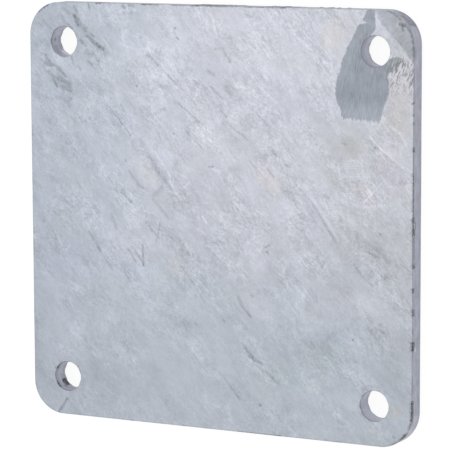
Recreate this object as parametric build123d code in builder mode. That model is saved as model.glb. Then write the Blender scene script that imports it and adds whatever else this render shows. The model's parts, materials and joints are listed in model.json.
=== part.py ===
"""Square steel cover plate with a bolt hole in each corner.

The plate closes the end of a square flange, foundation sleeve or frame. It is cut from one piece of
hot-rolled plate and hot-dip galvanised after cutting, so the zinc rounds every cut edge a little.

Frame: the origin is the centre of the underside, which seats on the flange. +Z points out of the
outer face, where the bolt heads bear. All lengths are in millimetres.
"""

import os

from build123d import *

# Driving dimensions
plate_length = 250.0  # along X
plate_width = 250.0  # along Y
plate_thickness = 12.0
corner_radius = 20.0
bolt_hole_diameter = 18.0  # clearance for an M16 bolt
hole_edge_distance = 23.5  # from a hole's centre to each of the two edges beside it
outline_edge_radius = 0.8  # the zinc-rounded edge between a face and the cut side
hole_rim_radius = 0.5  # the same at the rim of a bolt hole

# Derived dimensions
hole_spacing_x = plate_length - 2 * hole_edge_distance
hole_spacing_y = plate_width - 2 * hole_edge_distance


with BuildPart() as cover_plate:
    # The cut blank, standing on its underside.
    with BuildSketch(Plane.XY):
        RectangleRounded(plate_length, plate_width, corner_radius)
    extrude(amount=plate_thickness)

    # One through hole in each corner.
    with Locations(Plane.XY.offset(plate_thickness)):
        with GridLocations(hole_spacing_x, hole_spacing_y, 2, 2):
            Hole(bolt_hole_diameter / 2)

    # The zinc coat leaves no sharp edge, neither round the outline nor at the holes' rims.
    faces_with_rims = [cover_plate.faces().sort_by(Axis.Z)[0], cover_plate.faces().sort_by(Axis.Z)[-1]]
    outline_edges = [edge for face in faces_with_rims for edge in face.outer_wire().edges()]
    rim_edges = [edge for face in faces_with_rims for wire in face.inner_wires() for edge in wire.edges()]
    fillet(outline_edges, outline_edge_radius)
    fillet(rim_edges, hole_rim_radius)

cover_plate.part.label = "cover_plate"

os.makedirs("parts", exist_ok=True)
export_step(cover_plate.part, "parts/cover_plate.step")
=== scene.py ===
"""Looks of the galvanised cover plate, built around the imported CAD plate.

The plate lies on its underside. Its outer face, the one the camera sees, points up, with +X to the
right and +Y up in the picture. Lengths are millimetres unless a name says otherwise; meshes are
scaled to metres as they are made.
"""

import json
import math

import bpy
import numpy as np
from mathutils import Matrix, Vector, noise
from mathutils.geometry import delaunay_2d_cdt


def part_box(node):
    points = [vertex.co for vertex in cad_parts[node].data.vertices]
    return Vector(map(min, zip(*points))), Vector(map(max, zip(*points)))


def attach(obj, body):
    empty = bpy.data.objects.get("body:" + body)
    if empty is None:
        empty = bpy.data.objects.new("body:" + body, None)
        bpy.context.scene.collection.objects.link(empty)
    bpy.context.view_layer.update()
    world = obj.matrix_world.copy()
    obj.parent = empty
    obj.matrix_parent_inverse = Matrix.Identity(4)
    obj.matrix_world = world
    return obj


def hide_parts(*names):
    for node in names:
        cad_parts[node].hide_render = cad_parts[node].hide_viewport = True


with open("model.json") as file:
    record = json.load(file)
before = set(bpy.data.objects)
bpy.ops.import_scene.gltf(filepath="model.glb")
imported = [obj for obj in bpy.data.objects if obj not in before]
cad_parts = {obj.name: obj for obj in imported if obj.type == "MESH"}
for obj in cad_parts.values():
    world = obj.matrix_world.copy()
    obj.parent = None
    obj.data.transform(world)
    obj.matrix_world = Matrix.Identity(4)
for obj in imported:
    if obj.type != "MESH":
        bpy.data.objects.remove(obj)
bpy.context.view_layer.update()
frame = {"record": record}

MM = 0.001

# The plate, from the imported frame. Its corner radius is the CAD source's. The edge and rim radii are a
# little smaller.
plate_low, plate_high = (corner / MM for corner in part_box("cover_plate"))
bolt_holes = next(m for m in frame["record"]["mounts"] if m["name"] == "bolt_holes")
HALF_LENGTH = plate_high.x
HALF_WIDTH = plate_high.y
THICKNESS = plate_high.z
HOLE_X = bolt_holes["dims"]["spacing_x_mm"] / 2
HOLE_Y = bolt_holes["dims"]["spacing_y_mm"] / 2
HOLE_RADIUS = bolt_holes["dims"]["hole_r_mm"]
CORNER_RADIUS = 20.0
EDGE_RADIUS = 0.45
RIM_RADIUS = 0.4
HOLE_CENTRES = [(x, y) for x in (-HOLE_X, HOLE_X) for y in (-HOLE_Y, HOLE_Y)]

# How finely the mesh is divided.
OUTLINE_STEP = 0.75
RIM_STEP = 0.6
FINE_STEP = 0.45
FACE_STEPS = 3  # the points of the plain parts of the outer face are this many fine steps apart
UNDERSIDE_STEPS = 9  # and those of the underside this many
WALL_HEIGHTS = (0.45, 2.2, 3.9, 5.4, 6.7, 7.7, 8.5, 9.3, 10.1, 10.9, 11.55)  # closest by the outer face
ROUND_RINGS = 3

# The coat's mean surface lies this far inside the CAD plate. What its waves and lumps still put outside
# is clipped to the plate's box.
COAT_INSET = 0.04

# The streaks of draining zinc run down to the right across the face.
STREAK_ANGLE = math.radians(-47)

TOP_DRAIN = 0.28  # how much thinner the coat is on the upper side, between its lumps
HOLE_COAT = 0.13  # how much thicker it is in the holes

# Brightness of the zinc before its zones and bands, in display levels, 0 to 255.
FACE_LEVEL = 188
UNDERSIDE_LEVEL = 186
SIDE_LEVEL = 159
LEFT_HOLE_LEVEL = 164
RIGHT_HOLE_LEVEL = 169

LIGHT_STROKES = 0.65  # the share of its written depth that a light stroke gets
STROKE_FEATHER = 0.55  # how far past its half width a stroke fades out
MARK_FEATHER = 0.35  # how far past its reach a mark on an edge fades out
MARK_TOP = 12  # a mark whose highest z is this runs over the outer edge
FAR_OFF = 50.0  # the distance given for the patch and the corner on every other surface
SIDE_RISE = 0.6  # the steepest upward share of a normal that still counts as a side


# ---- What the zinc shows on the outer face ---------------------------

# Soft zones of another tone: x, y, reach along, reach across, turn in degrees, change of brightness and,
# where the tint differs too, change of warmth and of violet. Brightness is in display levels, 0 to 255.
ZONES = [
    (-105, -32, 24, 13, 30, -2, 0.2, 0.8), (-88, -16, 9, 7, -45, 4), (-60, -22, 18, 13, 20, 4, 0.3, 0.4),
    (-56, 46, 20, 24, 0, -1, 0.2, 0.4), (-40, 22, 11, 9, -45, 3, 0.5, 0.1), (-34, 38, 8, 6, 0, 4, 0.1, 0.3),
    (-4, 51, 15, 5, -45, 5, 0.1, 0), (34, 23, 15, 6, -45, 3, 0.4, 0.2), (24, -22, 11, 9, 0, 5, 0.4, 0.1),
    (58, 0, 16, 7, -45, 4, 0.1, 0), (104, 17, 15, 7, 0, 5, 0.4, 0.2), (116, 68, 9, 17, 0, -4, 1, -0.2),
    (96, 24.5, 9, 3.6, 0, 0, 1.4, 0), (113, 30, 6, 8, 30, -2, 0.3, 0.9), (120, 22, 5, 5, 0, 1, 0.3, -0.9),
    (82, 111, 10, 10, 0, 1, 0.8, -0.3), (84, 44, 16, 9, 0, -5, 0.6, -0.4), (62, 72, 12, 8, 30, -4, 0, 0.4),
    (78, -61, 12, 7, 10, -5, -0.5, 0.3), (74, -77, 12, 5, 15, -7, -0.4, -0.7),
    (65, -71, 6, 5, 0, -4, -0.3, -0.5), (-82, 112, 34, 12, 0, -5), (-72, 72, 16, 16, 0, -4),
    (40, 112, 46, 12, 0, 3), (-98, -55, 24, 26, 0, 3, 0, -0.1), (102, -9, 20, 12, -20, -7, 0.5, 0),
    (117, -26, 9, 13, 0, -4, 0.4, 0), (99, -45, 17, 7, -30, 5, 0.2, 0), (116, -66, 11, 7, 0, -4, 0.4, 0.1),
    (90, -84, 8, 7, 0, 4, 0.5, 0.4), (-40, -43, 6, 5, 0, 4, 0.5, 0.1), (-92, -75, 6, 13, 20, 4),
    (-78, -110, 42, 14, 0, -3, -0.1, -0.2), (-122, -95, 8, 32, 0, -5), (40, -58, 22, 12, 0, -1, 0.4, 0.3),
    (46, -90, 24, 16, 0, -3, -0.3, -0.5), (60, -104, 14, 9, 0, 3, 0.5, 0.3),
    (20, 100, 30, 14, 0, 2, 0.1, 0), (-117, 45, 12, 45, 0, 3, 0, 0.1), (10, -60, 9, 6, -45, -3, 0.2, 0.3),
]

# Flat crystals and cleaner or duller flakes, given as the zones are but with clearer edges.
FLAKES = [
    # the middle of the face
    (-38, 28, 9.5, 3, -52, -8, 0, 0.2), (-31.5, 36, 8.5, 4.5, -50, 5, 0, 0.2),
    (-27.5, 31, 2.5, 2.5, -45, -5), (-37.5, 15, 4.5, 2.8, 40, -6), (-46, 25, 10, 4.5, -55, 4, 0.8, -0.3),
    (-52.5, 21, 7, 2.2, -50, -6, 0, 0.2), (-7.5, 50, 7, 4, -30, 7, 0.2, 0), (6.5, 35, 4.5, 4, 0, 6),
    (21, 21, 9, 5, -35, 5, 0.2, 0.2), (35, 24.6, 10, 5.8, -40, 3, 1.9, 0.5),
    (13, 46, 9, 5, -45, -3, 0.2, 0), (46, 10, 5.5, 5, 0, 8, 0.2, 0.2),
    (-28, -14.5, 6.5, 5, -50, -4, 0, 0.4), (-29, -30, 7, 6, 0, 2, 0.8, -0.5), (28, -28, 5, 6.5, 0, 6),
    (19.5, -8, 8, 5.5, -40, 5), (-22, -3, 4.5, 3, -40, 6, 0, 0.2), (-3, -25, 9, 5, -20, -4, 0, 0.2),
    (38, -33, 10, 8, 0, -4, 0.2, 0), (-48, -34, 7, 3.5, -45, 6, 0, 0.2), (-55, -2, 6, 5, 0, 4, 0.4, 0),
    (-15, -8, 5, 3, -45, -4, 0, 0.1), (3, -2, 5, 6, 0, 3), (-12, 12, 9, 7, -45, -2, 0, 0.1),
    # the upper left
    (-92.4, 114, 5, 2.6, -68, -9), (-87, 108, 5, 2.6, -50, -6), (-79.5, 100.5, 6.5, 2.8, -42, -10),
    (-103, 77, 7, 4.5, -30, -9), (-111.5, 87, 3.5, 3, -60, -9), (-88, 101, 3, 1.8, -60, -6),
    (-98, 121, 6, 2.5, -40, -5, -0.2, 0), (-103, 112.5, 5, 2, -40, -5), (-109, 103, 6, 5, 0, -3, -0.2, 0),
    (-83, 91, 6, 3, -40, -5), (-98, 92, 4, 3, 0, 3), (-97, 87, 4, 3.5, 0, -5, 0, 0.1),
    (-70, 78, 12, 5, -45, 3, 0.3, 0.3), (-56, 95, 12, 4.5, -50, 3, 0.2, 0.2),
    (-63, 56, 14, 3, -50, 4, 0.2, 0.4), (-54, 62, 12, 3, -50, -3, 0, 0.2), (-75, 40, 15, 4, -52, 3, 0, 0.1),
    (-84, 55, 14, 4, -52, -3, -0.2, 0), (-63, 118, 5, 4, 0, 4, 0.6, 0.6),
    (-50, 118, 8, 4, -50, -3, -0.3, 0), (-94, 30, 16, 4, -52, -3, 0, 0.1), (-88, 8, 12, 4, -50, 4),
    (-107, 62, 10, 3, -55, -4, 0, 0.2),
    # the upper middle and right
    (-28, 112, 12, 4, -48, 4), (-12, 100, 14, 3.5, -48, -4), (-20, 84, 16, 4, -45, 4, 0.2, 0.2),
    (-2, 116, 7, 5, 0, 4, 0.4, 0), (14, 108, 14, 4, -45, 4, 0.2, 0), (8, 88, 15, 4, -45, -3),
    (30, 94, 16, 4, -45, 4, 0.2, 0.2), (24, 70, 15, 4, -45, 3), (42, 74, 12, 5, -45, -4, 0, 0.2),
    (60, 88, 10, 5, -45, 4, 0.4, 0), (46, 112, 10, 5, -45, -3, 0, 0.2), (56, 62, 10, 4, -40, 5, 0.2, 0),
    (74, 109, 6, 8, 0, 2, 1, -0.2), (62, 40, 10, 5, -45, 4, 0.2, 0), (76, 28, 12, 4, -30, -4, 0.6, 0),
    (70, 12, 9, 5, -45, 5, 0, 0.2), (92, 2, 9, 3, -35, 6, 0.4, 0), (110, 40, 7, 8, 0, 3, 0.8, 0),
    (118, 70, 6, 13, 0, -2, 0.9, -0.3), (114, 24, 8, 5, -20, 4, 0.6, 0.2), (80, -12, 9, 6, -40, -4, 0.2, 0),
    (60, -28, 10, 5, -40, 4), (82, -34, 8, 5, -30, -5, 0.3, 0.2), (98, -46, 9, 4, -30, 5, 0.3, 0),
    (87, 47.6, 6, 4, -20, -7, 0.1, -0.8), (121.4, 8.6, 3, 1.8, 0, -3, 0.5, 2),
    (30, -50, 7, 4.5, -30, 5, 0.2, 0.2), (115.4, -104.4, 3.4, 3, 0, -3, 1.8, -0.6),
    (-30, 90, 7, 3.4, -48, 5, 0, 0.1), (-24, 96, 9, 4, -48, 4),
    # the lower part
    (-20, -64, 9, 5, -40, -3, 0, 0.2), (-62, -62, 10, 6, -40, 2), (-92, -76, 4, 11, 0, 4),
    (-84, -96, 9, 5, -30, -3, 0, 0.1), (-40, -94, 9, 5, -50, -3), (-12, -108, 8, 5, 0, 3, 0.2, 0),
    (6, -86, 8, 5, -50, 3), (44, -74, 9, 5, -40, -3, 0.2, 0.4), (58, -54, 10, 4, -30, 4),
    (76, -66, 9, 5, 30, -4, -0.4, -0.2), (66, -92, 8, 4, 30, 4, 0.3, 0.2), (52, -106, 9, 4, 0, -4),
    (88, -100, 8, 5, 0, 3), (110, -84, 7, 5, -30, -4, 0.2, 0), (34, -112, 8, 4, 0, 3, 0, 0.1),
    (-66, -30, 8, 4, -50, -4, 0, 0.3),
]

# Strokes in the coat: scratches, smears, pits and creases. x and y where one starts, how far it runs in x
# and in y, half width, and depth of tone: above 0 where it is dark, below 0 where it is light.
STROKE_RUNS = [
    # smears beside the hole at the upper left
    (-94.6, 122.4, 2.5, -3.2, 0.6, 0.55), (-102, 121, 4, -2.5, 1.3, 0.25),
    (-93.9, 117, 2.4, -5.3, 1.2, 0.85), (-91.1, 115, 1.7, -4.5, 0.6, 0.55),
    (-90, 112.8, 4.2, -2.8, 0.9, 0.55), (-88.6, 110.3, 2.2, -2.1, 0.8, 0.55),
    (-82.9, 106.4, 2.1, -1.4, 0.5, 0.45), (-85.8, 105.2, 4.3, -3.1, 0.9, 0.65),
    (-81.5, 102, 6.7, -4.2, 1.2, 0.8), (-83, 103.6, 4.4, -3.4, 0.5, 0.6), (-90, 102.5, 3.5, -3.2, 0.8, 0.5),
    (-81.6, 94.4, 3.7, -3.7, 1.1, 0.45), (-85, 90.2, 2.8, -2.3, 0.7, 0.45),
    (-91.8, 87.2, 1.8, -2.2, 0.5, 0.45), (-102.8, 116.3, 1.6, -2.8, 1.2, 0.25),
    (-100, 112.8, 4.2, -3.2, 0.7, 0.35), (-114.2, 93, 1.8, -3, 0.7, 0.55),
    (-114.6, 88.6, 4.6, -1.4, 1.3, 0.5), (-113.1, 90.4, 2.9, -3.2, 1, 0.6),
    (-108.9, 87.6, 3.9, -2.2, 0.5, 0.6), (-105, 85.6, 4.7, -5.2, 0.5, 0.75),
    (-106.4, 85, 3.9, -3.2, 0.4, 0.55), (-112.4, 82.9, 3.9, -2.9, 1.1, 0.45), (-110, 80.8, 3, -6.4, 1, 0.5),
    (-107.6, 75.6, 0.8, -1.4, 0.7, 0.7), (-105.7, 79.3, 8.5, -3.5, 1.3, 0.5),
    (-103, 74.4, 5.8, -2.2, 1.2, 0.55), (-106, 82, 5, -4, 0.6, 0.4), (-101, 77.5, 3.6, -3.5, 0.5, 0.55),
    (-114.2, 85, 4.8, 0.7, 0.5, -0.5), (-103, 82.4, 3.6, -3.4, 0.4, -0.35),
    (-96.4, 92.1, 1.2, -3.5, 0.6, 0.5), (-84.3, 124.2, 0.7, -2.9, 0.6, 0.7),
    (-115.5, 113.5, 5.1, -4.9, 0.4, 0.35), (-119, 112, 2.5, -2, 0.4, 0.3), (-86, 96, 4, -2.5, 0.9, 0.3),
    (-117, 90, 2.5, -7, 0.9, 0.25), (-98.8, 66.2, 1.8, 0.8, 0.8, 0.4), (-73, 104, 5, -6, 0.5, 0.25),
    (-104, 68, 6, -5, 0.6, 0.2),
    # scratches over the field, mostly along the streaks, from the upper left to the lower right
    (-70.5, 63, 14.5, -16, 0.35, 0.45), (-63, 65, 2.5, -4, 0.4, 0.4), (-60, 69, 7, -6, 0.5, 0.25),
    (-45, 96, 9, -8, 1, 0.34), (-36, 88, 11, -10, 0.45, 0.4), (-34, 84, 8, -7.4, 0.5, -0.35),
    (-40, 60.5, 6.5, 3.5, 0.9, 0.35), (-24, 67, 13, -10, 0.5, 0.4), (-14, 81, 3, -2, 0.6, 0.45),
    (-13, 55, 4, -5, 0.5, -0.45), (-9, 50, 7, -4, 0.5, -0.4), (-1, 116, 2, -9, 0.5, -0.35),
    (-5, 87, 4, -2, 0.9, 0.4), (-3, 78, 8, -7, 0.4, 0.5), (5, 79, 6, -5, 1.1, 0.3),
    (0, 100, 4.6, 0.4, 0.5, 0.4), (4.6, 100.4, 5, -7, 0.8, 0.4), (9.2, 93.4, 0.6, -0.8, 0.6, 0.6),
    (9.5, 92, 1.1, -8, 0.4, -0.4), (10.6, 84, 4, -6, 0.4, -0.4), (16.6, 79, 3, -0.8, 0.6, -0.6),
    (3, 64, 4, -3, 0.7, 0.45), (9, 56, 12, -8, 0.4, 0.4), (18, 106, 3, -2.6, 0.4, 0.4),
    (-20, 52, 12, -11, 0.4, 0.3), (24, 66, 10, -9, 0.4, 0.3), (30, 78, 10, -8, 0.5, -0.3),
    (-43.8, 34.6, 1.8, -2.1, 0.9, 0.5), (-42, 32.5, 9, -11.9, 1.6, 0.28), (-40, 38, 9, -12, 0.5, -0.45),
    (-31, 26, 2, -8, 0.5, -0.45), (-29, 18, 6, -7, 0.5, -0.4), (-58, 26, 7, -8.6, 0.9, 0.38),
    (-51, 17.4, 2.4, -1, 0.6, 0.5), (-64, 14, 5.6, -5.2, 0.5, 0.4), (-58.4, 8.8, 1.6, -1.4, 0.8, 0.55),
    (-41, 12.4, 5.4, 4.6, 1.6, 0.25), (-42, 10, 7, -7, 0.7, 0.38), (-35, 3, 3.6, -4, 0.4, 0.45),
    (-45, -6, 7, -7, 0.5, 0.45), (-50, 45, 6, -9, 1, 0.25), (-56, -19, 6.4, -8.6, 0.5, 0.4),
    (-59, -21, 5, -7, 0.4, 0.35), (-49, -18, 0.4, -12, 0.35, 0.85), (-37, -4, -2.6, -11, 0.4, 0.45),
    (-70, -1, 3.4, -8, 1, 0.32), (-85.5, -12, 6.7, -10, 0.45, 0.5), (-79.4, -21.2, 1.2, -2, 0.8, 0.7),
    (-78.8, -22, 9.1, -12, 0.5, 0.35), (-49, 2.8, 7, -1, 0.5, -0.45), (-27, 27, 8, -3.4, 0.4, -0.4),
    (-20.4, 18, 2.8, 3, 0.5, -0.55), (-19, 13.6, 2.6, 1.2, 0.4, -0.45), (-1.6, 29.8, 4.4, -1.4, 0.6, -0.55),
    (-20, -16, 4, -6, 0.6, -0.45), (-8.6, 1.6, 2.4, -3.6, 0.6, -0.5), (-12, -6, 5.2, -3, 0.5, -0.5),
    (5, 5.8, 4, -0.6, 0.5, 0.35), (2.4, -12.4, 3.4, -1.2, 0.5, 0.4), (-4.2, 31, 2.4, 0.2, 0.4, 0.85),
    (22, 36, 12, -12, 0.35, 0.25), (31.5, 39.6, 5.1, -0.2, 0.3, 0.4), (37, 41.6, 2.4, -1.6, 0.7, 0.45),
    (45.5, 34.4, 2.9, -1.2, 0.5, 0.5), (33.6, 31.6, 4.4, -4.6, 0.4, 0.35), (44, 19.4, 5, -0.4, 0.5, 0.4),
    (50, 26, 12.3, -12.6, 0.35, 0.28), (62.3, 13.4, 14.9, -22, 0.45, 0.45),
    (64, 14.6, 15, -21.6, 0.4, -0.4), (63, 4, 7, -7.8, 0.4, 0.35), (32.4, -14, 2.2, 1.2, 0.5, 0.65),
    (33.3, -16.7, 0.4, -0.4, 0.5, 0.7), (98.1, 53.8, 5.9, -6.3, 0.4, -0.5), (104, 47.5, 8, -6.1, 0.4, -0.5),
    (112, 41.4, 6.5, -5, 0.4, -0.4), (110.5, 60, 6.1, -4.2, 0.4, -0.45),
    (116.6, 55.8, 4.4, -7.2, 0.4, -0.35), (105.9, 27.4, -11.5, -12.4, 0.4, -0.5),
    (101.2, 47.2, 0.6, -0.6, 0.6, 0.8), (103.2, 46.9, 0.5, -0.4, 0.4, 0.6), (81, 48.5, 3, -0.4, 0.4, 0.5),
    (95.3, -12, 8.2, -3.3, 0.5, 0.5), (101.5, -14.6, 2.5, -0.8, 0.9, 0.4),
    (104.8, -1.6, 0.4, -0.4, 0.5, 0.7), (88.7, -20.3, 5.3, -6.7, 0.5, 0.45), (94, -27, 6.3, -5, 0.4, 0.3),
    (42.2, -33.2, 3.2, -3.6, 0.5, 0.5), (31.4, -38.4, 6.2, -4.2, 0.3, 0.35),
    (22.6, -42.6, 1.4, -0.8, 0.8, 0.35), (-23, -29, 8, -10, 0.45, 0.35), (14.4, -44.4, 3.2, -6.2, 0.9, 0.4),
    (17.6, -50.6, 4.8, -5, 0.7, 0.45), (5, -59, 0.6, -0.8, 0.5, 0.4), (-14.2, -62.4, 1, -0.8, 0.6, 0.35),
    (18.8, -74.2, 3.8, -4.4, 0.8, 0.5), (22.4, -78.8, 3, -2.2, 1.5, 0.65), (25, -80.6, 4.8, -2.4, 0.8, 0.6),
    (32, -87, 8.3, -6.7, 0.6, 0.35), (2, -90.3, 7, -7.7, 0.5, 0.3), (9, -98, 6.3, -7.3, 0.7, 0.45),
    (113.4, -118.4, 0.8, -0.6, 0.4, 0.6),
    # pits and specks
    (-26.3, 111.4, 0.3, -0.5, 0.5, 0.8), (-25, 105.7, 0.8, -0.4, 0.6, 0.9), (88, -64, 0.4, -0.4, 0.5, 0.9),
    (28.7, -107.3, 0.3, -0.4, 0.6, 0.9), (-60, 32, 0.4, -0.3, 0.5, 0.8), (-52.2, 76.9, 0.3, -0.4, 0.4, 0.8),
    (-27.8, 49.5, 0.4, -0.3, 0.4, 0.8), (-117.1, -7.2, 0.3, -0.3, 0.4, 0.6),
    (-113.8, 67.4, 0.8, -0.4, 0.8, 0.4), (-61.2, 123.6, 1.6, -1.2, 0.8, 0.7),
    (-58.6, 122, 1, -1.4, 0.7, -0.7), (-57, 124, 3, -0.4, 0.7, 0.6), (-60.6, 119.6, 1, -1, 0.5, 0.6),
    (-55.4, 119.8, 0.8, -0.6, 0.5, 0.5), (-53.6, 121.8, 1, -0.8, 0.5, -0.6),
    # the wrinkle below the hole at the lower left
    (-102.2, -115.3, -2.4, -3.9, 0.5, 0.8), (-104.6, -119.2, -3.6, -4.8, 1, 0.7),
    # the brown spot and the ground corner at the upper right
    (116.8, 117.2, 1.8, -0.8, 1, 1.1), (117.8, 115.6, 0.8, -2, 0.8, 0.5), (111, 123.9, 4.4, -2.9, 0.4, 0.6),
    (115.4, 121, 2.6, -2.6, 0.4, 0.65), (118, 118.4, 2.6, -2.8, 0.4, 0.7),
    (120.6, 115.6, 2.8, -3.6, 0.4, 0.75), (123.4, 112, 1, -5, 0.35, 0.8), (124.4, 107, 0.3, -4, 0.3, 0.5),
]
STROKES = [(x, y, x + run_x, y + run_y, *tone) for x, y, run_x, run_y, *tone in STROKE_RUNS]
# fine ripples on the right
STROKES += [(81.5 + 0.4 * k, 38.4 - 1.5 * k, 94, 39.6 - 1.5 * k, 0.3, -0.32) for k in range(8)]

# Dross, bare bits, pale drips and painted shade on the edges and rims: both ends, reach, lowest and highest
# z, and tone, from -1, pale, to 1, dark, and past 1 where dark without gaps. Those along the top side give
# only the x of their ends, and how far they stand proud. Those down the right side give only the y of their
# ends.
TOP_MARKS = [
    (-79.2, -76.6, 0.9, 6, 12, 0.8, 0.3), (-48.4, -42.7, 0.6, 8, 12, 0.95, 0.1),
    (-42.7, -36.8, 0.5, 9, 12, 0.6, 0.1), (-35.6, -31, 1, 3, 12, -0.4, 0.3),
    (-28.8, -14, 0.5, 9, 12, 0.7, 0), (-14.2, -10.4, 0.8, 0, 12, 0.9, 0.4),
    (-9, -3, 0.8, 0, 12, 0.85, 0.3), (-3, 6, 0.9, 0, 12, 0.75, 0.4), (6, 14.4, 0.7, 0, 12, 0.5, 0.3),
    (18.8, 31.8, 0.5, 9, 12, 1, 0), (32.4, 42.6, 0.9, 0, 12, 0.5, 0.4), (42.6, 44.4, 0.8, 0, 12, 1, 0.3),
    (44.6, 52, 0.6, 0, 9, 0.35, 0.2), (62, 63.6, 0.3, 0, 3, 0.8, 0.4), (68.2, 70.6, 0.3, 0, 3, 1, 0.4),
    (74.4, 75.2, 0.3, 0, 3, 1, 0.4), (79.4, 81.8, 0.3, 0, 3, 0.9, 0.4), (96.4, 99.2, 0.4, 9, 12, 0.6, 0),
]
# Down the right side: dross, and a dark line along the upper rounded edge, which is painted shade.
RIGHT_MARKS = [
    (104, 99, 0.4, 10, 12, 0.4), (88, 83, 0.5, 10.5, 12, 0.35), (62, 61.2, 0.3, 10, 12, 0.7),
    (48, 45.8, 0.3, 9.6, 12, 0.85), (44, 35, 0.1, 11, 12, 0.35), (34, 12, 0.3, 10.8, 12, 0.7),
    (12, 8, 0.2, 10.4, 12, 0.55), (8, 5.6, 0.5, 9.6, 12, 1), (5.6, 1.4, 0.3, 10.6, 12, 0.85),
    (5.6, 1.4, 0.2, 7.9, 8.7, 0.8), (1.4, -1.4, 0.4, 9, 12, 1), (-2.4, -18.6, 0.4, 9.2, 12, 0.42),
    (-18.6, -20.4, 0.4, 8.8, 12, 0.8), (-32.2, -34, 0.4, 9.4, 12, 1), (-44.2, -47.6, 0.4, 9, 12, 0.8),
    (-55, -58, 0.1, 10.6, 12, 0.3), (-63, -67.6, 0.5, 8.8, 12, 1.1), (-66.6, -68.4, 0.3, 7.4, 8.8, -1),
    (-82, -92, 0.1, 10.8, 12, 0.3), (-97, -105, 0.5, 9.8, 12, 1),
]
OTHER_MARKS = [
    # the rounded corners
    (124.9, -107, 121, -117, 0.8, 4, 8.6, -0.3), (118.6, -119, 113, -123.2, 0.4, 9.6, 12, 0.5),
    (121.6, -116.2, 118.6, -119, 0.7, 9.4, 12, 0.95), (124.4, -109, 123, -113, 0.3, 10.2, 12, 0.6),
    (125, -105, 124.4, -109, 0.4, 9.8, 12, 0.9), (124.6, 66.6, 125, 66, 0.3, 10, 12, 0.6),
    (123.8, 72, 125, 73.4, 0.3, 10, 12, 0.9), (-119, 119, -112, 123.5, 0.6, 6, 12, 0.8),
    # the upper right corner
    (113.1, 123.3, 121.6, 116.2, 0.9, 0, 5, 0.55), (115.6, 121.9, 121.4, 116.4, 0.7, 4.5, 9.4, 0.6),
    (122.4, 114.8, 124.6, 108, 0.6, 8, 10, -0.15), (108.4, 124.7, 112, 123.7, 0.5, 9, 12, 0.4),
    # bottom and left sides
    (14, -125, 40, -125, 0.5, 9, 12, 0.55), (-23, -125, -21, -125, 0.5, 9, 12, 0.6),
    (-58, -125, -56, -125, 0.5, 9, 12, 0.6), (76, -125, 80, -125, 0.5, 9, 12, 0.6),
    (38, -125, 42, -125, 0.6, 9, 12, 0.9), (-125, 47, -125, 44, 0.4, 9, 12, 0.4),
    (-125, -60, -125, -64, 0.4, 9, 12, 0.4),
    # the hole at the upper left
    (-110.5, 102.4, -110.5, 101.5, 0.4, 6.4, 7.4, 0.8), (-107, 108.6, -100, 110.4, 0.4, 10, 12, 0.4),
    (-107.4, 94.7, -104, 92.9, 1.2, 0, 4.2, -0.9), (-109.8, 98, -107.4, 94.8, 0.9, 4, 9, 0.25),
    (-110, 104.6, -107, 108.6, 0.8, 4, 9, -0.2),
    # the hole at the lower left
    (-109.5, -97.4, -105.8, -93.6, 0.5, 9.6, 12, 0.95),
    (-109.3, -106, -107.1, -108.6, 1.1, 0.8, 5.2, 1.5),
    (-106.8, -108.8, -100, -110.4, 0.8, 3.4, 7.6, 0.5),
    (-109.5, -105.6, -107, -108.6, 0.3, 10.4, 12, 0.9), (-95, -95.2, -93.1, -98.2, 0.3, 10.4, 12, 1),
    (-110, -98.4, -110.4, -101, 0.9, 3, 9, -0.25),
    # the holes at the upper right and the lower right
    (108.5, 107, 110.3, 103, 0.4, 10.5, 12, 0.3), (98, 109.8, 101, 110.5, 0.3, 10.6, 12, 0.35),
    (93.2, -105, 97.4, -109.5, 0.8, 5, 8, -0.25), (94, -96.5, 98, -93.4, 0.4, 10, 12, 0.25),
]
EDGE_MARKS = [(x0, HALF_WIDTH, x1, HALF_WIDTH, *mark) for x0, x1, *mark in TOP_MARKS]
EDGE_MARKS += [(HALF_LENGTH, y0, HALF_LENGTH, y1, *mark, 0) for y0, y1, *mark in RIGHT_MARKS]
EDGE_MARKS += [(*mark, 0) for mark in OTHER_MARKS]

# Corners of the ground patch below and left of the hole at the upper right, of its part above the hole,
# and of the dull ground corner beyond, which is also painted in shade.
PATCH_OUTLINE = [
    (91, 116.2), (88.3, 110.5), (86.5, 107), (84, 103.5), (82.8, 100), (81, 96), (79.7, 90),
    (78, 86), (77, 82), (76.8, 76), (78, 71.5), (80, 68.5), (81, 64), (82.6, 62.6), (93, 62.4),
    (104.4, 61.8), (106.6, 70), (108.6, 74.6), (110, 78), (110, 84.5), (108.8, 87), (110, 89.6),
    (114.2, 91), (117, 95.5), (117.6, 98.4), (113, 98.6), (108, 96), (101.5, 101.5),
    (98.5, 110.5), (101.6, 114), (101.4, 118), (98, 117.6), (92.2, 116.6),
]
PATCH_TOP = [(93.2, 118.8), (94.6, 120.6), (96.4, 124.6), (101, 124.8), (101.6, 115), (97.8, 117.2)]
CORNER_SHADE = [
    (101.6, 124.4), (105.6, 116.6), (110.4, 111.4), (118, 104.4), (122.2, 98), (126, 97),
    (126, 126), (101.6, 126),
]


# ---- Fields over the face --------------------------------------------


def smooth_step(values, low, high):
    share = np.clip((values - low) / (high - low), 0, 1)
    return share * share * (3 - 2 * share)


def segment_distance(points, start, end):
    """Distance of each point from the straight piece between start and end."""
    start, side = np.array(start, float), np.subtract(end, start).astype(float)
    along = np.clip((points - start) @ side / (side @ side), 0, 1)
    return np.linalg.norm(points - start - along[:, None] * side, axis=1)


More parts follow.
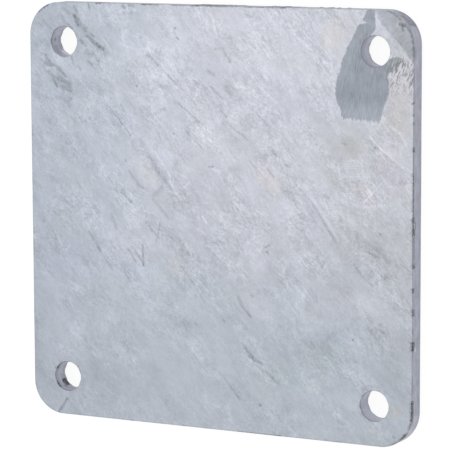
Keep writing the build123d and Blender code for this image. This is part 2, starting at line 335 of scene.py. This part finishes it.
def polygon_distance(points, corners):
    """Signed distance of each point from a polygon's outline, negative inside."""
    nearest = np.full(len(points), np.inf)
    inside = np.zeros(len(points), bool)
    for start, end in zip(corners, corners[1:] + corners[:1]):
        nearest = np.minimum(nearest, segment_distance(points, start, end))
        if start[1] != end[1]:
            spans = (start[1] > points[:, 1]) != (end[1] > points[:, 1])
            slope = (end[0] - start[0]) / (end[1] - start[1])
            inside ^= spans & (points[:, 0] < start[0] + (points[:, 1] - start[1]) * slope)
    return np.where(inside, -nearest, nearest)


def outline_distance(points):
    """Signed distance of each point from the plate's rounded outline, negative inside."""
    past = np.abs(points) - (HALF_LENGTH - CORNER_RADIUS, HALF_WIDTH - CORNER_RADIUS)
    outside = np.linalg.norm(np.maximum(past, 0), axis=1)
    return outside + np.minimum(past.max(axis=1), 0) - CORNER_RADIUS


def rim_distance(points):
    """Distance of each point from the nearest hole's wall, negative inside the hole."""
    return np.linalg.norm(np.abs(points) - (HOLE_X, HOLE_Y), axis=1) - HOLE_RADIUS


def patch_distance(points):
    """Signed distance from the two parts of the ground patch."""
    return np.minimum(polygon_distance(points, PATCH_OUTLINE), polygon_distance(points, PATCH_TOP))


def noise_at(points, scale, seed):
    """Smooth noise, about -0.5 to 0.5, at each point; scale is its cell's size along each axis."""
    places = points / np.array(scale, float) + seed * 17.3
    return np.array([noise.noise(place) for place in places])


def solid(points):
    """Flat points as points in space."""
    return np.column_stack([points, np.zeros(len(points))])


def along_streaks(points):
    """The points turned so that their first coordinate runs along the streaks."""
    turn = np.array([
        (math.cos(STREAK_ANGLE), -math.sin(STREAK_ANGLE)),
        (math.sin(STREAK_ANGLE), math.cos(STREAK_ANGLE)),
    ])
    return points @ turn


def zone_fields(points):
    """Brightness in display levels, warmth and violet over the face."""
    wander = np.column_stack([noise_at(solid(points), 24, 1), noise_at(solid(points), 24, 2)])
    places = points + 9 * wander
    # Lighter towards the upper right and darker towards the lower left: painted light from above and to the
    # right, and painted shade.
    rightward = smooth_step(places[:, 0], -125, -35)
    upward = smooth_step(places[:, 1], -105, 95)
    brightness = FACE_LEVEL + 5 * rightward + 5 * upward + 11 * rightward * upward
    brightness -= 3 * smooth_step(places[:, 0], 40, 125)
    # Bluer towards the lower left, the tint of the painted shade there, and warmer towards the upper right.
    rightward = smooth_step(places[:, 0], -125, 20)
    upward = smooth_step(places[:, 1], -80, 10)
    warmth = -0.6 + rightward * (0.3 + 1.7 * upward) + 0.3 * smooth_step(places[:, 0], 40, 125)
    violet = -0.05 + 0.5 * rightward * upward - 0.25 * rightward * (1 - upward)
    wrinkled = points + 2.5 * np.column_stack([noise_at(solid(points), 5, s) for s in (7, 8)])
    for areas, where, power in ((ZONES, places, 2), (FLAKES, wrinkled, 4)):
        for x, y, reach_along, reach_across, turn, lift, *tint in areas:
            angle = math.radians(turn)
            away = where - (x, y)
            along = (away @ (math.cos(angle), math.sin(angle))) / reach_along
            across = (away @ (-math.sin(angle), math.cos(angle))) / reach_across
            share = np.exp(-(along**power + across**power))
            brightness += lift * share
            if tint:
                warmth += tint[0] * share
                violet += tint[1] * share
    return brightness, warmth, violet


def stroke_field(points):
    """Depth of tone of the strokes, above 0 where dark and below 0 where light, with soft edges."""
    depth = np.zeros(len(points))
    for x0, y0, x1, y1, half_width, dark in STROKES:
        gap = segment_distance(points, (x0, y0), (x1, y1))
        share = 1 - smooth_step(gap, 0.4 * half_width, half_width + STROKE_FEATHER)
        share *= dark if dark > 0 else LIGHT_STROKES * dark
        depth = np.where(np.abs(share) > np.abs(depth), share, depth)
    return depth


def edge_fields(points):
    """Tone of the marks on the outline, and how far their dross stands proud, in millimetres."""
    tone = np.zeros(len(points))
    proud = np.zeros(len(points))
    flat = points[:, :2]
    near = np.flatnonzero((outline_distance(flat) > -3.5) | (rim_distance(flat) < 1.5))
    places = points[near]
    for x0, y0, x1, y1, reach, low, high, dark, lump in EDGE_MARKS:
        gap = segment_distance(places[:, :2], (x0, y0), (x1, y1))
        share = 1 - smooth_step(gap, 0.3 * reach, reach + MARK_FEATHER)
        share *= smooth_step(places[:, 2], low - 0.8, low + 0.4) if low > 0 else 1
        share *= 1 - smooth_step(places[:, 2], high - 0.4, high + 0.8) if high < MARK_TOP else 1
        stronger = np.abs(dark * share) > np.abs(tone[near])
        tone[near] = np.where(stronger, dark * share, tone[near])
        proud[near] = np.maximum(proud[near], lump * share)
    return tone, proud


def needs_fine(points):
    """True where the face carries something smaller than the plain mesh can hold."""
    fine = np.abs(patch_distance(points)) < 1.0
    for x0, y0, x1, y1, half_width, _ in STROKES:
        fine |= segment_distance(points, (x0, y0), (x1, y1)) < half_width + 0.9
    return fine


# ---- The plate's mesh ------------------------------------------------


def outline_loop():
    """Points and outward normals round the plate's outline, anticlockwise, evenly spaced."""
    points, normals = [], []
    straights = (2 * (HALF_WIDTH - CORNER_RADIUS), 2 * (HALF_LENGTH - CORNER_RADIUS))
    for quarter in range(4):
        turn = quarter * math.pi / 2
        across = (HALF_LENGTH, HALF_WIDTH)[quarter % 2]
        straight = straights[quarter % 2]
        out = np.array((math.cos(turn), math.sin(turn)))
        along = np.array((-out[1], out[0]))
        steps = round(straight / OUTLINE_STEP)
        for share in np.arange(steps) / steps - 0.5:
            points.append(out * across + along * straight * share)
            normals.append(out)
        centre = out * (across - CORNER_RADIUS) + along * straight / 2
        steps = round(CORNER_RADIUS * math.pi / 2 / OUTLINE_STEP)
        for angle in turn + np.arange(steps) / steps * math.pi / 2:
            normal = np.array((math.cos(angle), math.sin(angle)))
            points.append(centre + normal * CORNER_RADIUS)
            normals.append(normal)
    return np.array(points), np.array(normals)


def rim_loop(centre):
    """Points round one hole, clockwise, and normals that point into it."""
    count = round(2 * math.pi * HOLE_RADIUS / RIM_STEP)
    angles = -np.arange(count) / count * 2 * math.pi
    outward = np.stack([np.cos(angles), np.sin(angles)], axis=1)
    return np.array(centre) + outward * HOLE_RADIUS, -outward


def edge_profile(radius):
    """(inset, height, upward share of the normal) up a wall with rounded edges."""
    turns = np.arange(ROUND_RINGS) / ROUND_RINGS * math.pi / 2
    lower = [(radius * (1 - math.sin(t)), radius * (1 - math.cos(t)), -math.cos(t)) for t in turns]
    wall = [(0.0, height, 0.0) for height in WALL_HEIGHTS]
    upper = [(inset, THICKNESS - height, -rise) for inset, height, rise in reversed(lower)]
    return lower + wall + upper


def face_grid(steps, refine):
    """A triangular grid of points over the face: every fine step where refine says, else coarser."""
    reach = int(1.2 * (HALF_LENGTH + HALF_WIDTH) / FINE_STEP)
    row, column = np.mgrid[-reach : reach + 1, -reach : reach + 1]
    x = (column + row / 2) * FINE_STEP
    y = row * FINE_STEP * math.sqrt(0.75)
    coarse = (row % steps == 0) & (column % steps == 0)
    points = np.stack([x, y], axis=-1)
    on_plate = (np.abs(x) < HALF_LENGTH) & (np.abs(y) < HALF_WIDTH)
    points, coarse = points[on_plate], coarse[on_plate]
    clear = outline_distance(points) < -EDGE_RADIUS - 0.8 * FINE_STEP
    clear &= rim_distance(points) > RIM_RADIUS + 0.8 * FINE_STEP
    points, coarse = points[clear], coarse[clear]
    return points[coarse | refine(points)]


class MeshBuilder:
    """Collects a closed surface: its vertices, their outward normals and its faces."""

    def __init__(self):
        self.points = np.empty((0, 3))
        self.normals = np.empty((0, 3))
        self.faces = []

    def add_points(self, flat, height, normals):
        """Adds points at one height; returns their numbers."""
        first = len(self.points)
        self.points = np.vstack([self.points, np.column_stack([flat, np.full(len(flat), height)])])
        self.normals = np.vstack([self.normals, normals])
        return np.arange(first, len(self.points))

    def add_wall(self, loop, loop_normals, radius):
        """Adds a band of quads up a closed loop; returns its lowest and highest rings."""
        rings = []
        for inset, height, rise in edge_profile(radius):
            level = math.sqrt(1 - rise * rise)
            normals = np.column_stack([loop_normals * level, np.full(len(loop), rise)])
            rings.append(self.add_points(loop - loop_normals * inset, height, normals))
        for low, high in zip(rings, rings[1:]):
            self.faces.extend(zip(low, np.roll(low, -1), np.roll(high, -1), high))
        return rings[0], rings[-1]

    def add_face(self, rings, inner, height, up):
        """Adds a triangulated flat face between its boundary rings, through the inner points."""
        names = np.concatenate(rings)
        edges = []
        for ring in rings:
            place = np.arange(len(ring)) + len(edges)
            edges.extend(zip(place.tolist(), np.roll(place, -1).tolist()))
        flat = np.vstack([self.points[names, :2], inner])
        corners, _, triangles, *_ = delaunay_2d_cdt([Vector(p) for p in flat], edges, [], 0, 1e-6)
        if len(corners) != len(flat):
            raise ValueError("the triangulation of a face merged or added a point")
        facing = np.tile((0.0, 0.0, 1.0 if up else -1.0), (len(inner), 1))
        names = np.concatenate([names, self.add_points(inner, height, facing)])
        triangles = np.array(triangles)
        centres = flat[triangles].mean(axis=1)
        kept = triangles[(outline_distance(centres) < 0) & (rim_distance(centres) > 0)]
        self.faces.extend(names[kept if up else kept[:, ::-1]])


def plate_surface():
    """The bare plate as a fine closed mesh, before the coat's relief."""
    surface = MeshBuilder()
    loops = [(*outline_loop(), EDGE_RADIUS)]
    loops += [(*rim_loop(centre), RIM_RADIUS) for centre in HOLE_CENTRES]
    rings = [surface.add_wall(*loop) for loop in loops]
    plain = face_grid(UNDERSIDE_STEPS, lambda points: np.zeros(len(points), bool))
    detailed = face_grid(FACE_STEPS, needs_fine)
    surface.add_face([low for low, high in rings], plain, 0.0, up=False)
    surface.add_face([high for low, high in rings], detailed, THICKNESS, up=True)
    return surface


def relief(points, normals):
    """Height of the zinc's surface over the bare plate, along its normal."""
    flat = points[:, :2]
    outer = smooth_step(normals[:, 2], 0.2, 0.9)
    height = 0.04 * noise_at(points, 26, 3) + 0.02 * noise_at(points, 8, 4)
    ripple = noise_at(solid(along_streaks(flat)), (34, 5, 1), 5)
    height += 0.03 * outer * ripple
    height -= TOP_DRAIN * smooth_step(normals[:, 1], 0.5, 0.9) * (outline_distance(flat) > -EDGE_RADIUS)
    height += HOLE_COAT * (1 - np.abs(normals[:, 2])) * (rim_distance(flat) < RIM_RADIUS)
    height -= 0.05 * outer * (1 - smooth_step(patch_distance(flat), -0.5, 0.4))
    height -= 0.03 * outer * stroke_field(flat)
    height += edge_fields(points)[1] * (0.8 + 1.2 * noise_at(points, 1.8, 6))
    return height - COAT_INSET


def add_object(name, data):
    thing = bpy.data.objects.new(name, data)
    bpy.context.scene.collection.objects.link(thing)
    return thing


def add_mesh(name, points, faces, material):
    """Adds a smooth mesh object from points in millimetres."""
    mesh = bpy.data.meshes.new(name)
    mesh.from_pydata((points * MM).tolist(), [], [list(map(int, face)) for face in faces])
    mesh.materials.append(material)
    mesh.shade_smooth()
    return add_object(name, mesh)


def set_field(piece, name, values):
    """Stores one number a vertex, for the material to read."""
    piece.data.attributes.new(name, "FLOAT", "POINT").data.foreach_set("value", values)


def build_plate(material):
    surface = plate_surface()
    flat = surface.points[:, :2]
    outer = surface.points[:, 2] > THICKNESS / 2
    points = surface.points + surface.normals * relief(surface.points, surface.normals)[:, None]
    points = np.clip(points, np.array(plate_low), np.array(plate_high))
    piece = add_mesh("galvanised_plate", points, surface.faces, material)
    brightness, warmth, violet = zone_fields(flat)
    hole_level = np.where(flat[:, 0] > 0, RIGHT_HOLE_LEVEL, LEFT_HOLE_LEVEL)
    side_level = np.where(rim_distance(flat) < RIM_RADIUS, hole_level, SIDE_LEVEL)
    face_level = np.where(outer, brightness, UNDERSIDE_LEVEL)
    level = np.where(np.abs(surface.normals[:, 2]) < SIDE_RISE, side_level, face_level)
    set_field(piece, "brightness", level / 255)
    set_field(piece, "warmth", np.where(outer, warmth, 0.3))
    set_field(piece, "violet", np.where(outer, violet, 0.2))
    set_field(piece, "stroke", np.where(outer, stroke_field(flat), 0.0))
    set_field(piece, "edge", edge_fields(surface.points)[0])
    set_field(piece, "patch", np.where(outer, patch_distance(flat), FAR_OFF))
    set_field(piece, "corner", np.where(outer, polygon_distance(flat, CORNER_SHADE), FAR_OFF))
    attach(piece, "root")
    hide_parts("cover_plate")
    return piece


# ---- The zinc's material ---------------------------------------------


class Shader:
    """Short names for the shader nodes of one material or world."""

    def __init__(self, owner):
        owner.use_nodes = True
        self.nodes = owner.node_tree.nodes
        self.links = owner.node_tree.links

    def put(self, socket, value):
        """Links a node's output to a socket, or sets the socket to a plain value."""
        if isinstance(value, bpy.types.NodeSocket):
            self.links.new(value, socket)
        elif value is not None:
            socket.default_value = value

    def node(self, kind, values=(), **settings):
        node = self.nodes.new("ShaderNode" + kind)
        for name, setting in settings.items():
            setattr(node, name, setting)
        for socket, value in zip(node.inputs, values):
            self.put(socket, value)
        return node

    def math(self, operation, *values):
        return self.node("Math", values, operation=operation).outputs[0]

    def add(self, *values):
        total = values[0]
        for value in values[1:]:
            total = self.math("ADD", total, value)
        return total

    def times(self, *values):
        product = values[0]
        for value in values[1:]:
            product = self.math("MULTIPLY", product, value)
        return product

    def step(self, value, low, high):
        """A smooth step from 0 at low to 1 at high; low may be the larger."""
        node = self.node("MapRange", interpolation_type="SMOOTHSTEP")
        if low > high:
            low, high = high, low
            self.put(node.inputs["To Min"], 1.0)
            self.put(node.inputs["To Max"], 0.0)
        self.put(node.inputs["Value"], value)
        self.put(node.inputs["From Min"], low)
        self.put(node.inputs["From Max"], high)
        return node.outputs["Result"]

    def field(self, name):
        return self.node("Attribute", attribute_name=name).outputs["Fac"]

    def vector(self, x, y, z=0.0):
        return self.node("CombineXYZ", (x, y, z)).outputs[0]

    def split(self, vector):
        return self.node("SeparateXYZ", (vector,)).outputs

    def shifted(self, vector, offset):
        return self.node("VectorMath", (vector, offset), operation="ADD").outputs[0]

    def scaled(self, vector, scale):
        return self.node("VectorMath", (vector, scale), operation="MULTIPLY").outputs[0]

    def turned(self, vector, angle):
        """The place in axes turned by an angle about Z, so that X runs along that angle."""
        node = self.node("VectorRotate", rotation_type="Z_AXIS")
        self.put(node.inputs["Vector"], vector)
        self.put(node.inputs["Angle"], -angle)
        return node.outputs[0]

    def noise(self, place, size, detail=2.0, roughness=0.5, seed=0.0):
        """Noise round zero, -0.5 to 0.5. size is one number, or (along X, along Y) in millimetres."""
        along, across = size if isinstance(size, tuple) else (size, size)
        where = self.scaled(place, (1 / along, 1 / across, 1 / across))
        node = self.node("TexNoise", noise_dimensions="3D")
        self.put(node.inputs["Vector"], self.shifted(where, (seed, 1.7 * seed, 0.6 * seed)))
        self.put(node.inputs["Scale"], 1.0)
        self.put(node.inputs["Detail"], detail)
        self.put(node.inputs["Roughness"], roughness)
        return self.math("SUBTRACT", node.outputs["Fac"], 0.5)

    def waves(self, place, size, height, detail=2.0, roughness=0.5, seed=0.0):
        """The same noise, as high as height."""
        return self.times(self.noise(place, size, detail, roughness, seed), height)

    def mix(self, share, first, second):
        """Mixes two colours or two places."""
        node = self.node("Mix", data_type="RGBA")
        self.put(node.inputs[0], share)
        self.put(node.inputs[6], first)
        self.put(node.inputs[7], second)
        return node.outputs[2]

    def blend(self, share, first, second):
        """Mixes two numbers."""
        node = self.node("Mix", data_type="FLOAT")
        self.put(node.inputs[0], share)
        self.put(node.inputs[2], first)
        self.put(node.inputs[3], second)
        return node.outputs[0]


# dark edge marks: dross, and painted shade along the right side's upper rounded edge
DROSS_AND_EDGE_SHADE = (60, 62, 69)
PALE_DRIP = (216, 212, 222)
# the painted highlight round the ground patch's rim
PATCH_RIM_HIGHLIGHT = (216, 219, 226)
BROWN_STREAK = (132, 126, 128)
PALE_STREAK = (214, 213, 212)
WORN_FACE = 42  # levels that a stroke of full depth takes off the face
WORN_CORNER = 46  # and off the dull corner


def colour(red, green, blue):
    """A display colour, 0 to 255 a channel, as the linear colour that a shader takes."""
    return tuple(linear(value / 255) for value in (red, green, blue)) + (1,)


def linear(display):
    """One display value, 0 to 1, made linear."""
    return display / 12.92 if display <= 0.04045 else ((display + 0.055) / 1.055) ** 2.4


def zinc_colour(zinc, level, warmth, violet=0):
    """The zinc's grey at a brightness of 0 to 1: less blue as warmth rises, bluer and redder with violet."""
    power = zinc.math("POWER", zinc.math("MAXIMUM", level, 0.02), 2.2)
    red = zinc.times(power, zinc.add(0.931, zinc.times(warmth, 0.023), zinc.times(violet, 0.01)))
    blue = zinc.add(1.121, zinc.times(warmth, -0.025), zinc.times(violet, 0.045))
    return zinc.vector(red, power, zinc.times(power, blue))


def frost(zinc, place, streaked, lively):
    """The zinc's crystals, frost and drained streaks, as a change of brightness in levels."""
    uneven = zinc.blend(zinc.step(zinc.noise(streaked, (30, 13), 1, seed=3), -0.2, 0.2), 0.5, 1.25)
    grain = zinc.add(*(
        zinc.times(zinc.noise(streaked, (1.5 * size, size), 1, seed=size), amount)
        for size, amount in ((0.75, 44), (1.6, 22), (3.2, 13), (6.5, 15))
    ))
    flecks = zinc.noise(streaked, (4.6, 1.3), 3, 0.7, seed=14)
    flecks = zinc.add(
        zinc.times(zinc.step(flecks, 0.1, 0.2), 6),
        zinc.times(zinc.step(flecks, -0.1, -0.2), -6),
    )
    warp = zinc.vector(
        zinc.waves(place, 2.5, 3, 2, seed=6),
        zinc.waves(place, 2.5, 3, 2, seed=7),
    )
    where = zinc.shifted(streaked, warp)
    fine = zinc.add(
        grain, flecks,
        veins(zinc, streaked, (13, 2.6), 9, zinc.noise(place, 13, 1, seed=16)),
        veins(zinc, zinc.shifted(streaked, (40, 0, 0)), (18, 3.2), -10, zinc.noise(place, 16, 1, seed=17)),
        crystals(zinc, where, (10, 5), 8, 6, zinc.noise(place, 15, 1, seed=8)),
        crystals(zinc, where, (3.6, 2.2), 7.5, 3, zinc.noise(place, 11, 1, seed=9)),
    )
    clouds = zinc.add(
        zinc.waves(streaked, (20, 10), 15, 1, seed=4),
        zinc.waves(streaked, (46, 30), 5, 1, seed=5),
    )
    return zinc.add(zinc.times(fine, lively, uneven), clouds)


def veins(zinc, streaked, size, contrast, presence):
    """Thin lines that run with the streaks, where presence is high."""
    gap = zinc.math("ABSOLUTE", zinc.noise(streaked, size, 2, 0.55, seed=15))
    return zinc.times(zinc.step(gap, 0.065, 0.01), zinc.step(presence, -0.04, 0.1), contrast)


def crystals(zinc, where, size, contrast, vein_contrast, presence):
    """Flat crystals, each of its own tone, with bright veins between them where presence is high."""
    cells = zinc.scaled(where, (1 / size[0], 1 / size[1], 1 / size[1]))
    cell = zinc.node("TexVoronoi", feature="F1")
    zinc.put(cell.inputs["Vector"], cells)
    zinc.put(cell.inputs["Scale"], 1)
    tone = zinc.math("SUBTRACT", zinc.split(cell.outputs["Color"])[0], 0.5)
    edge = zinc.node("TexVoronoi", feature="DISTANCE_TO_EDGE")
    zinc.put(edge.inputs["Vector"], cells)
    zinc.put(edge.inputs["Scale"], 1)
    vein = zinc.times(zinc.step(edge.outputs["Distance"], 0.1, 0.02), zinc.step(presence, 0, 0.14))
    return zinc.add(zinc.times(tone, contrast), zinc.times(vein, vein_contrast))


def face_colour(zinc, place, bent, streaked):
    """The outer face's zinc, with its zones, frost, smears and scratches, and how worn it is."""
    x, y, _ = zinc.split(place)
    quiet = zinc.blend(zinc.step(x, 0, 90), 0.62, 0.75)
    busy = zinc.blend(zinc.step(x, -110, -20), 0.84, 0.93)
    lively = zinc.blend(zinc.step(y, -75, -10), quiet, busy)
    level = zinc.add(zinc.field("brightness"), zinc.times(frost(zinc, place, streaked, lively), 1 / 255))
    ragged = zinc.noise(zinc.turned(place, math.radians(-58)), (2.2, 0.6), 3, 0.65, seed=10)
    worn = zinc.times(zinc.field("stroke"), zinc.add(0.95, zinc.times(ragged, 5)))
    level = zinc.math("SUBTRACT", level, zinc.times(worn, WORN_FACE / 255))
    warmth = zinc.add(
        zinc.field("warmth"),
        zinc.waves(bent, 16, 1.1, 2, seed=11),
        zinc.waves(place, 3, 1.2, 2, seed=12),
    )
    violet = zinc.add(zinc.field("violet"), zinc.waves(bent, 12, 1.2, 2, seed=13))
    return zinc_colour(zinc, level, warmth, violet), worn


def ground_patch(zinc, place, bent, face):
    """The face with the dull patch, its grinding lines close to upright, a painted highlight round its rim,
    and where the patch is.
    """
    x, y, _ = zinc.split(place)
    disc = zinc.turned(zinc.mix(0.3, place, bent), math.radians(82))
    drag = zinc.blend(zinc.step(y, 72, 64), 0.5, 5)
    edge = zinc.add(
        zinc.field("patch"),
        zinc.waves(place, 1.5, 2.2, 3, 0.6, seed=20),
        zinc.times(zinc.noise(disc, (7, 0.8), 1, seed=21), drag),
    )
    inside = zinc.step(edge, 0.45, -0.45)
    lines = zinc.add(
        zinc.waves(disc, (5, 0.7), 48, 2, seed=22),
        zinc.waves(disc, (14, 4), 16, 1, seed=23),
        zinc.waves(place, 7, 16, 2, seed=24),
        zinc.waves(place, 0.8, 22, 2, seed=25),
    )
    paler = zinc.times(zinc.step(y, 76, 64), 13)
    left = zinc.times(zinc.step(x, 92, 80), zinc.step(y, 76, 88), 9)
    top = zinc.times(zinc.step(y, 106, 116), 6)
    level = zinc.times(zinc.add(165.5, paler, left, top, lines), 1 / 255)
    # A pale, spotty rim just outside the patch: painted highlight along the step at its edge.
    rim = zinc.times(zinc.step(edge, 2.2, 0.5), zinc.step(edge, 0.1, 0.6))
    painted_rim_highlight = zinc.times(rim, zinc.step(zinc.noise(place, 2.6, 2, seed=26), 0.02, 0.16), 0.5)
    face = zinc.mix(painted_rim_highlight, face, colour(*PATCH_RIM_HIGHLIGHT))
    warmth = zinc.add(-0.3, zinc.waves(place, 9, 2, 1, seed=27))
    return zinc.mix(inside, face, zinc_colour(zinc, level, warmth)), inside


def shaded_corner(zinc, place, face, worn):
    """The dull ground corner beyond the bright wedge by the upper right hole, painted in shade that deepens
    towards its top and right edges.
    """
    x, y, _ = zinc.split(place)
    edge = zinc.add(zinc.field("corner"), zinc.waves(place, 2.5, 3, 3, 0.6, seed=30))
    inside = zinc.times(zinc.step(edge, 1, -1), 0.85)
    out = zinc.turned(place, math.radians(42))
    lines = zinc.add(
        zinc.waves(out, (5, 1.1), 52, 3, 0.6, seed=31),
        zinc.waves(place, 3, 56, 3, 0.6, seed=32),
    )
    # Darker towards the top and right edges: painted shade.
    duller = zinc.add(
        zinc.times(zinc.step(y, 112, 104), -11), zinc.times(zinc.step(x, 107, 114), -6),
    )
    level = zinc.times(zinc.add(180, duller, lines, zinc.times(worn, -WORN_CORNER)), 1 / 255)
    warmth = zinc.add(
        zinc.blend(zinc.step(x, 104, 113), -0.4, 1), zinc.waves(place, 9, 3, 1, seed=33),
    )
    return zinc.mix(inside, face, zinc_colour(zinc, level, warmth))


def brown_streaks(zinc, place, face):
    """Rough brown and pale streaks between the patch and the right side."""
    x, y, _ = zinc.split(place)
    area = zinc.times(
        zinc.step(x, 106, 114), zinc.step(y, 74, 86), zinc.step(y, 102, 95),
    )
    lean = zinc.turned(place, math.radians(68))
    streak = zinc.noise(lean, (4.5, 1.2), 3, 0.65, seed=35)
    dark = zinc.times(area, zinc.step(streak, -0.03, 0.12), 0.85)
    pale = zinc.times(area, zinc.step(streak, 0, -0.12), 0.5)
    face = zinc.mix(dark, face, colour(*BROWN_STREAK))
    return zinc.mix(pale, face, colour(*PALE_STREAK))


def side_colour(zinc, place):
    """The plate's sides and hole walls: duller, a little violet, banded along the plate, with painted shade
    towards their upper and lower edges.
    """
    x, y, z = zinc.split(place)
    along = zinc.scaled(place, (0.2, 0.2, 1))
    bands = zinc.add(
        zinc.waves(along, 1.7, 42, 3, 0.6, seed=40),
        zinc.waves(place, 6, 34, 2, seed=41),
        zinc.waves(place, 1.2, 18, 2, seed=42),
    )
    # Lighter in the middle of the wall's height and darker towards its lower and upper edges: painted shade.
    middle = zinc.times(zinc.step(z, 2, 5), zinc.step(z, 11.5, 8), 6)
    level = zinc.add(zinc.field("brightness"), zinc.times(zinc.add(middle, bands), 1 / 255))
    violet = zinc.add(1.7, zinc.waves(place, 8, 3, 2, seed=43))
    return zinc_colour(zinc, level, 0.2, violet)


def zinc_material():
    material = bpy.data.materials.new("galvanised_zinc")
    zinc = Shader(material)
    surface = zinc.nodes["Principled BSDF"]
    metres = zinc.node("TexCoord").outputs["Object"]
    place = zinc.scaled(metres, (1 / MM, 1 / MM, 1 / MM))
    bent = zinc.shifted(place, zinc.vector(
        zinc.waves(place, 20, 8, seed=1),
        zinc.waves(place, 20, 8, seed=2),
    ))
    streaked = zinc.turned(bent, STREAK_ANGLE)
    upright = zinc.split(zinc.node("NewGeometry").outputs["Normal"])[2]
    side = zinc.step(zinc.math("ABSOLUTE", upright), 0.8, 0.35)

    face, worn = face_colour(zinc, place, bent, streaked)
    face, ground = ground_patch(zinc, place, bent, face)
    face = brown_streaks(zinc, place, face)
    face = shaded_corner(zinc, place, face, worn)
    base = zinc.mix(side, face, side_colour(zinc, place))
    rough_edge = zinc.add(0.76, zinc.waves(place, 1.3, 2.2, 2, seed=50))
    edge = zinc.times(zinc.field("edge"), rough_edge)
    # Dark edge tone: dross, and painted shade along the right side's upper rounded edge; pale edge tone:
    # drips.
    base = zinc.mix(zinc.math("MAXIMUM", edge, 0), base, colour(*DROSS_AND_EDGE_SHADE))
    base = zinc.mix(zinc.math("MAXIMUM", zinc.times(edge, -1), 0), base, colour(*PALE_DRIP))

    shine = zinc.add(
        0.42,
        zinc.waves(streaked, (14, 4), 0.16, 2, seed=51),
        zinc.waves(place, 2.2, 0.1, 2, seed=52),
        zinc.times(ground, 0.08),
    )
    zinc.put(surface.inputs["Base Color"], base)
    zinc.put(surface.inputs["Metallic"], 0.8)
    zinc.put(surface.inputs["Roughness"], shine)

    heights = zinc.add(
        zinc.waves(streaked, (14, 2.5), 0.5, 2, seed=53),
        zinc.waves(place, 0.9, 0.3, 3, 0.6, seed=54),
        zinc.times(worn, -0.3),
    )
    bump = zinc.node("Bump")
    zinc.put(bump.inputs["Strength"], 0.35)
    zinc.put(bump.inputs["Distance"], 0.1 * MM)
    zinc.put(bump.inputs["Height"], heights)
    zinc.put(surface.inputs["Normal"], bump.outputs[0])
    return material


# ---- The stage -------------------------------------------------------

FLOOR_SIZE = 8000.0
FLOOR_DROP = 0.05  # how far it lies below the plate's underside
FLOOR_COLOUR = (0.8, 0.8, 0.8, 1)  # as the plate is lit by it
SHADOWED_COLOUR = (0.16, 0.16, 0.16, 1)  # as it is seen, with its glow on top
FLOOR_GLOW = 0.9

SKY_LEVEL = 0.7  # light from the horizon
SKY_TOP = 1.08  # light from overhead
KEY_PLACE = (-0.9, 0.5, 2.1)  # metres
KEY_SIZE = 3.0  # metres
KEY_WATTS = 7

CAMERA_LENS = 212.5
CAMERA_DISTANCE = 1.5581  # metres from the outer face
CAMERA_AIM = (0.0060, -0.0035)  # metres the view's centre lies off the face's centre
CAMERA_TURN = math.radians(27.26)  # off the face's normal, towards +X
CAMERA_RISE = math.radians(7.90)  # off the face's normal, towards +Y
CAMERA_ROLL = math.radians(0.23)


def seen_directly(shader):
    """A socket that is 1 for rays from the camera, in reflections and through glass."""
    rays = shader.node("LightPath").outputs
    seen = rays["Is Camera Ray"]
    for ray in ("Is Glossy Ray", "Is Transmission Ray"):
        seen = shader.math("MAXIMUM", seen, rays[ray])
    return seen


def floor_material():
    """A pale floor that looks white to the camera and still takes the plate's shadow."""
    material = bpy.data.materials.new("pale_floor")
    floor = Shader(material)
    plain = floor.node("BsdfDiffuse", (FLOOR_COLOUR,)).outputs[0]
    shadowed = floor.node("BsdfDiffuse", (SHADOWED_COLOUR,)).outputs[0]
    glow = floor.node("Emission", (None, FLOOR_GLOW)).outputs[0]
    bright = floor.node("AddShader", (shadowed, glow)).outputs[0]
    choice = floor.node("MixShader", (seen_directly(floor), plain, bright)).outputs[0]
    floor.put(floor.nodes["Material Output"].inputs["Surface"], choice)
    return material


def add_floor():
    half = FLOOR_SIZE / 2
    sides = [(-half, -half), (half, -half), (half, half), (-half, half)]
    corners = np.array([(x, y, -FLOOR_DROP) for x, y in sides])
    floor = add_mesh("floor", corners, [(0, 1, 2, 3)], floor_material())


def add_world():
    """A white room to the camera, and soft light for the plate, strongest overhead."""
    world = bpy.data.worlds.new("studio")
    bpy.context.scene.world = world
    room = Shader(world)
    room.nodes.clear()
    white = room.node("Background", (None, 1.0)).outputs[0]
    height = room.split(room.node("TexCoord").outputs["Generated"])["Z"]
    strength = room.node("MapRange", (height, 0.0, 1.0, SKY_LEVEL, SKY_TOP)).outputs["Result"]
    soft = room.node("Background", (None, strength)).outputs[0]
    seen = room.node("LightPath").outputs["Is Camera Ray"]
    choice = room.node("MixShader", (seen, soft, white)).outputs[0]
    room.put(room.node("OutputWorld").inputs["Surface"], choice)


def add_key_light():
    """A square area light that points at the plate's centre."""
    lamp = bpy.data.lights.new("key", "AREA")
    lamp.size = KEY_SIZE
    lamp.energy = KEY_WATTS
    light = add_object("key", lamp)
    light.location = KEY_PLACE
    light.rotation_euler = Vector(KEY_PLACE).to_track_quat("Z", "Y").to_euler()


def add_camera():
    camera = add_object("camera", bpy.data.cameras.new("camera"))
    camera.data.lens = CAMERA_LENS
    camera.data.clip_end = 50.0
    face_centre = Matrix.Translation((0, 0, THICKNESS * MM))
    turn = Matrix.Rotation(CAMERA_TURN, 4, "Y") @ Matrix.Rotation(-CAMERA_RISE, 4, "X")
    turn = turn @ Matrix.Rotation(-CAMERA_ROLL, 4, "Z")
    camera.matrix_world = face_centre @ turn @ Matrix.Translation((*CAMERA_AIM, CAMERA_DISTANCE))
    bpy.context.scene.camera = camera


build_plate(zinc_material())
add_floor()
add_world()
add_key_light()
add_camera()
bpy.context.scene.view_settings.view_transform = "Standard"
